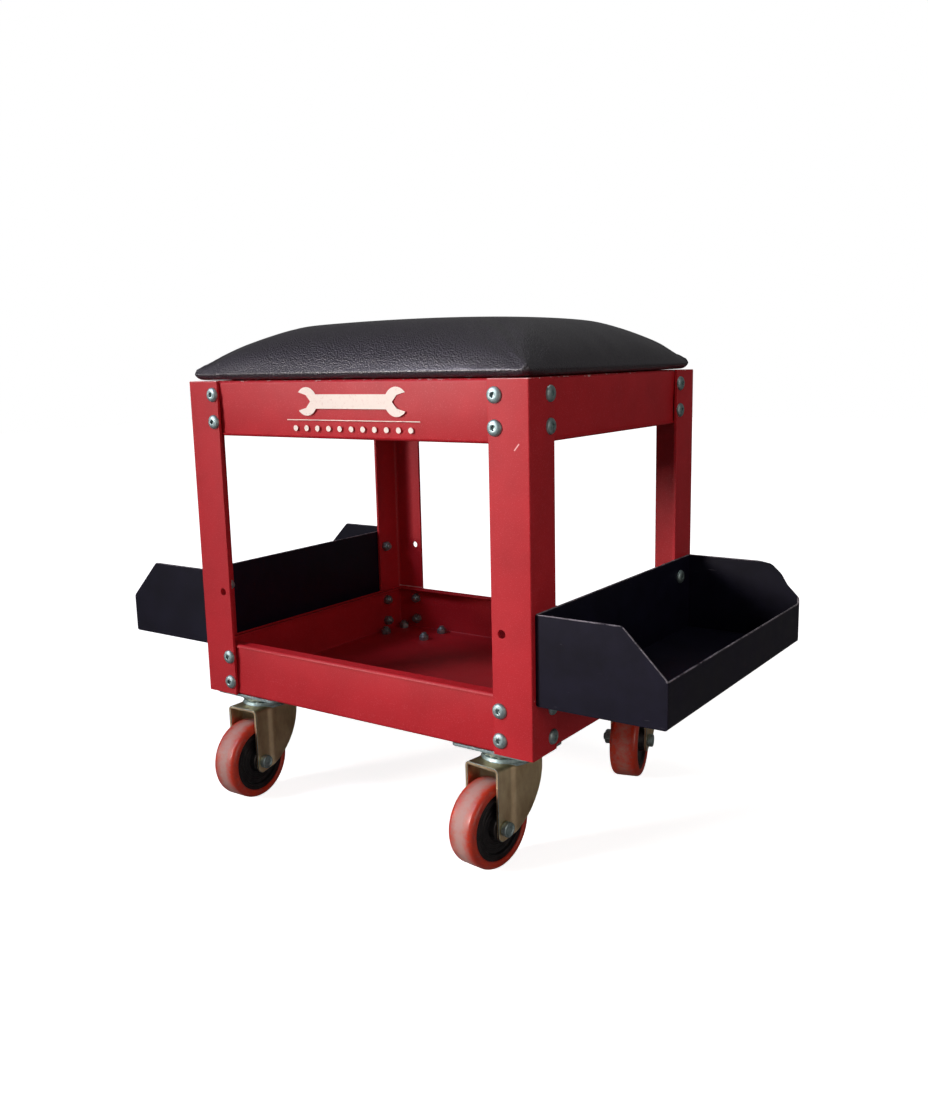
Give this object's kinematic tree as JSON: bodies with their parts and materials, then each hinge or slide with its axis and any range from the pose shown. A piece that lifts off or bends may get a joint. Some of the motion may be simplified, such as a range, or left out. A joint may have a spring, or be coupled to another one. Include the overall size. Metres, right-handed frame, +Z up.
{
  "type": "rolling mechanic's seat",
  "caption": "Low rolling work seat: padded vinyl cushion on a bolted steel angle frame with a tool shelf, a hanging tray on each side and swivel casters.",
  "frame": {"origin": "on the floor under the middle of the frame, which is also the bottom centre of the whole box", "axes": "+X to the right tray, -Y to the front face, +Z up"},
  "size_m": [0.609, 0.3714, 0.4605],
  "materials": {
    "red_powder_coat": "smooth red powder coat, satin to gloss, lightly scratched",
    "black_powder_coat": "satin black powder coat, worn bright at the top edges",
    "zinc_plated_steel": "bright blue zinc plating",
    "chromated_steel": "zinc plated pressed steel with a yellowish chromate",
    "seat_vinyl": "black upholstery vinyl with a fine grain",
    "seat_foam": "polyurethane foam",
    "plywood": "raw birch plywood",
    "black_rubber": "matt rubber",
    "polyurethane": "translucent red-orange cast polyurethane, dulled on the tread",
    "hub_polypropylene": "black moulded polypropylene",
    "bush_nylon": "natural nylon"
  },
  "bodies": {
    "stool": {"leg_front_left": "red_powder_coat", "leg_front_right": "red_powder_coat", "leg_back_left": "red_powder_coat", "leg_back_right": "red_powder_coat", "tray_left": "black_powder_coat", "tray_right": "black_powder_coat", "top_frame": "red_powder_coat", "shelf_pan": "red_powder_coat", "top_bolts": "zinc_plated_steel", "top_nuts": "zinc_plated_steel", "shelf_bolts": "zinc_plated_steel", "shelf_nuts": "zinc_plated_steel", "tray_bolts": "zinc_plated_steel", "tray_nuts": "zinc_plated_steel", "caster_bolts": "zinc_plated_steel", "caster_nuts": "zinc_plated_steel", "kingpins": "zinc_plated_steel", "seat_screws": "zinc_plated_steel", "cover_staples": "zinc_plated_steel", "seat_board": "plywood", "seat_foam": "seat_foam", "seat_cover": "seat_vinyl", "seat_washers": "black_rubber", "caster_plate_front_left": "zinc_plated_steel", "caster_plate_front_right": "zinc_plated_steel", "caster_plate_back_left": "zinc_plated_steel", "caster_plate_back_right": "zinc_plated_steel"},
    "caster_front_left": {"ball_ring_front_left": "zinc_plated_steel", "fork_front_left": "chromated_steel", "axle_bolt_front_left": "zinc_plated_steel", "axle_nut_front_left": "zinc_plated_steel", "axle_sleeve_front_left": "zinc_plated_steel"},
    "wheel_front_left": {"bush_front_left": "bush_nylon", "hub_front_left": "hub_polypropylene", "tyre_front_left": "polyurethane"},
    "caster_front_right": {"ball_ring_front_right": "zinc_plated_steel", "fork_front_right": "chromated_steel", "axle_bolt_front_right": "zinc_plated_steel", "axle_nut_front_right": "zinc_plated_steel", "axle_sleeve_front_right": "zinc_plated_steel"},
    "wheel_front_right": {"bush_front_right": "bush_nylon", "hub_front_right": "hub_polypropylene", "tyre_front_right": "polyurethane"},
    "caster_back_left": {"ball_ring_back_left": "zinc_plated_steel", "fork_back_left": "chromated_steel", "axle_bolt_back_left": "zinc_plated_steel", "axle_nut_back_left": "zinc_plated_steel", "axle_sleeve_back_left": "zinc_plated_steel"},
    "wheel_back_left": {"bush_back_left": "bush_nylon", "hub_back_left": "hub_polypropylene", "tyre_back_left": "polyurethane"},
    "caster_back_right": {"ball_ring_back_right": "zinc_plated_steel", "fork_back_right": "chromated_steel", "axle_bolt_back_right": "zinc_plated_steel", "axle_nut_back_right": "zinc_plated_steel", "axle_sleeve_back_right": "zinc_plated_steel"},
    "wheel_back_right": {"bush_back_right": "bush_nylon", "hub_back_right": "hub_polypropylene", "tyre_back_right": "polyurethane"}
  },
  "joints": [
    {"name": "swivel_front_left", "type": "hinge", "parent": "stool", "child": "caster_front_left", "pos_m": [-0.145, -0.1225, 0.093], "axis": [0, 0, 1], "continuous": true},
    {"name": "spin_front_left", "type": "hinge", "parent": "caster_front_left", "child": "wheel_front_left", "pos_m": [-0.14456, -0.1475, 0.0375], "axis": [0.9998, 0.0175, 0], "continuous": true},
    {"name": "swivel_front_right", "type": "hinge", "parent": "stool", "child": "caster_front_right", "pos_m": [0.145, -0.1225, 0.093], "axis": [0, 0, 1], "continuous": true},
    {"name": "spin_front_right", "type": "hinge", "parent": "caster_front_right", "child": "wheel_front_right", "pos_m": [0.14152, -0.14726, 0.0375], "axis": [0.9903, -0.1392, 0], "continuous": true},
    {"name": "swivel_back_left", "type": "hinge", "parent": "stool", "child": "caster_back_left", "pos_m": [-0.145, 0.1225, 0.093], "axis": [0, 0, 1], "continuous": true},
    {"name": "spin_back_left", "type": "hinge", "parent": "caster_back_left", "child": "wheel_back_left", "pos_m": [-0.14152, 0.14726, 0.0375], "axis": [-0.9903, 0.1392, 0], "continuous": true},
    {"name": "swivel_back_right", "type": "hinge", "parent": "stool", "child": "caster_back_right", "pos_m": [0.145, 0.1225, 0.093], "axis": [0, 0, 1], "continuous": true},
    {"name": "spin_back_right", "type": "hinge", "parent": "caster_back_right", "child": "wheel_back_right", "pos_m": [0.15147, 0.09835, 0.0375], "axis": [0.9659, 0.2588, 0], "continuous": true}
  ]
}
